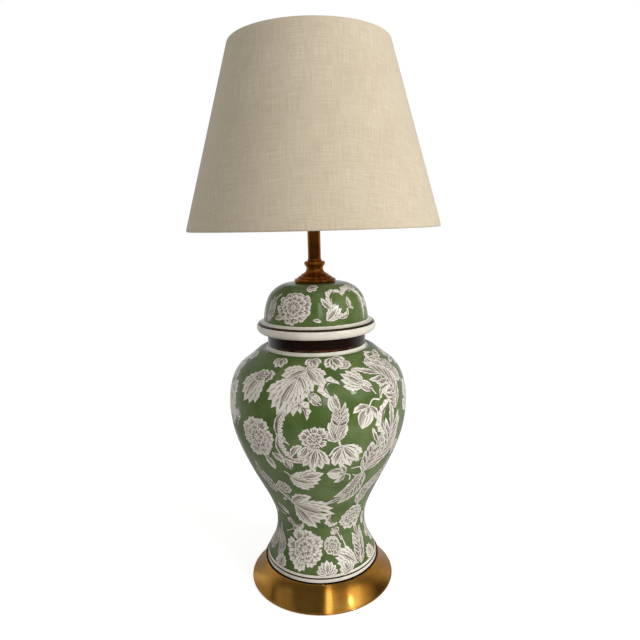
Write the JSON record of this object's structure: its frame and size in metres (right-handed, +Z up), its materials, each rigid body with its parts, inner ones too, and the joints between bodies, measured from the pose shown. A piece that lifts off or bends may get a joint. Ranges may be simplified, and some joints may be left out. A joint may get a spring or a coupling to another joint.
{
  "type": "ginger jar table lamp",
  "caption": "Ginger jar table lamp: lidded ceramic jar on a flared brass plinth, brass neck, turn-key holder, lift-off harp and a linen empire shade.",
  "frame": {"origin": "centre of the felt's underside, on the lamp's axis", "axes": "+Z up along the lamp's axis, -Y towards the front, where the switch key is"},
  "size_m": [0.399, 0.399, 0.8877],
  "materials": {
    "brass_plinth": "satin",
    "brass_neck": "antique, polished",
    "brass_bright": "bright",
    "glaze": "glossy, printed green with cream foliage",
    "rubber_black": "matt",
    "felt_green": "felt",
    "steel_plate": "zinc plated",
    "iron": "rough casting",
    "plastic_black": "moulded",
    "liner_paper": "fibre",
    "block": "phenolic moulding",
    "nickel": "nickel plated",
    "bulb_glass": "opal",
    "bulb_black_glass": "vitreous",
    "linen": "woven linen",
    "shade_liner": "white styrene",
    "shade_wire": "white enamel"
  },
  "bodies": {
    "lamp": {"plinth_skirt": "brass_plinth", "plinth_weight": "iron", "plinth_plate": "steel_plate", "plinth_felt": "felt_green", "cord_grommet": "plastic_black", "base_nut": "steel_plate", "base_washer": "steel_plate", "centre_rod": "steel_plate", "foot_pad": "rubber_black", "jar_body": "glaze", "lid_gasket": "rubber_black", "jar_lid": "glaze", "cap_gasket": "rubber_black", "vase_cap": "brass_neck", "neck_spool": "brass_neck", "neck_tube": "brass_neck", "check_ring": "brass_neck", "harp_saddle": "brass_neck", "holder_cup": "brass_bright", "holder_set_screw": "steel_plate", "holder_shell": "brass_bright", "holder_liner": "liner_paper", "switch_block": "block", "terminal_screws": "brass_bright", "screw_shell": "brass_bright", "centre_contact": "brass_bright"},
    "key": {"switch_stem": "brass_bright", "switch_key": "plastic_black"},
    "bulb": {"bulb_globe": "bulb_glass", "bulb_cap": "nickel", "bulb_insulator": "bulb_black_glass", "bulb_tip": "nickel"},
    "harp_loop": {"harp": "brass_neck", "harp_stud": "brass_neck"},
    "sleeve_left": {"harp_sleeve_left": "brass_neck"},
    "sleeve_right": {"harp_sleeve_right": "brass_neck"},
    "shade": {"shade_linen": "linen", "shade_liner": "shade_liner", "shade_ring_top": "shade_wire", "shade_ring_bottom": "shade_wire", "shade_hem_top": "linen", "shade_hem_bottom": "linen", "shade_spider": "shade_wire"},
    "finial": {"finial": "brass_neck"}
  },
  "joints": [
    {"name": "switch_turn", "type": "hinge", "parent": "lamp", "child": "key", "pos_m": [0, -0.036, 0.6385], "axis": [0, -1, 0], "continuous": true},
    {"name": "bulb_turn", "type": "hinge", "parent": "lamp", "child": "bulb", "pos_m": [0, 0, 0.66], "axis": [0, 0, 1], "continuous": true},
    {"name": "harp_lift", "type": "slide", "parent": "lamp", "child": "harp_loop", "axis": [0, 0, 1], "range_m": [0, 0.02]},
    {"name": "sleeve_left_slide", "type": "slide", "parent": "harp_loop", "child": "sleeve_left", "axis": [0, 0, 1], "range_m": [0, 0.012]},
    {"name": "sleeve_right_slide", "type": "slide", "parent": "harp_loop", "child": "sleeve_right", "axis": [0, 0, 1], "range_m": [0, 0.012]},
    {"name": "shade_turn", "type": "hinge", "parent": "harp_loop", "child": "shade", "pos_m": [0, 0, 0.864], "axis": [0, 0, 1], "continuous": true},
    {"name": "finial_turn", "type": "hinge", "parent": "harp_loop", "child": "finial", "pos_m": [0, 0, 0.87], "axis": [0, 0, 1], "continuous": true}
  ]
}
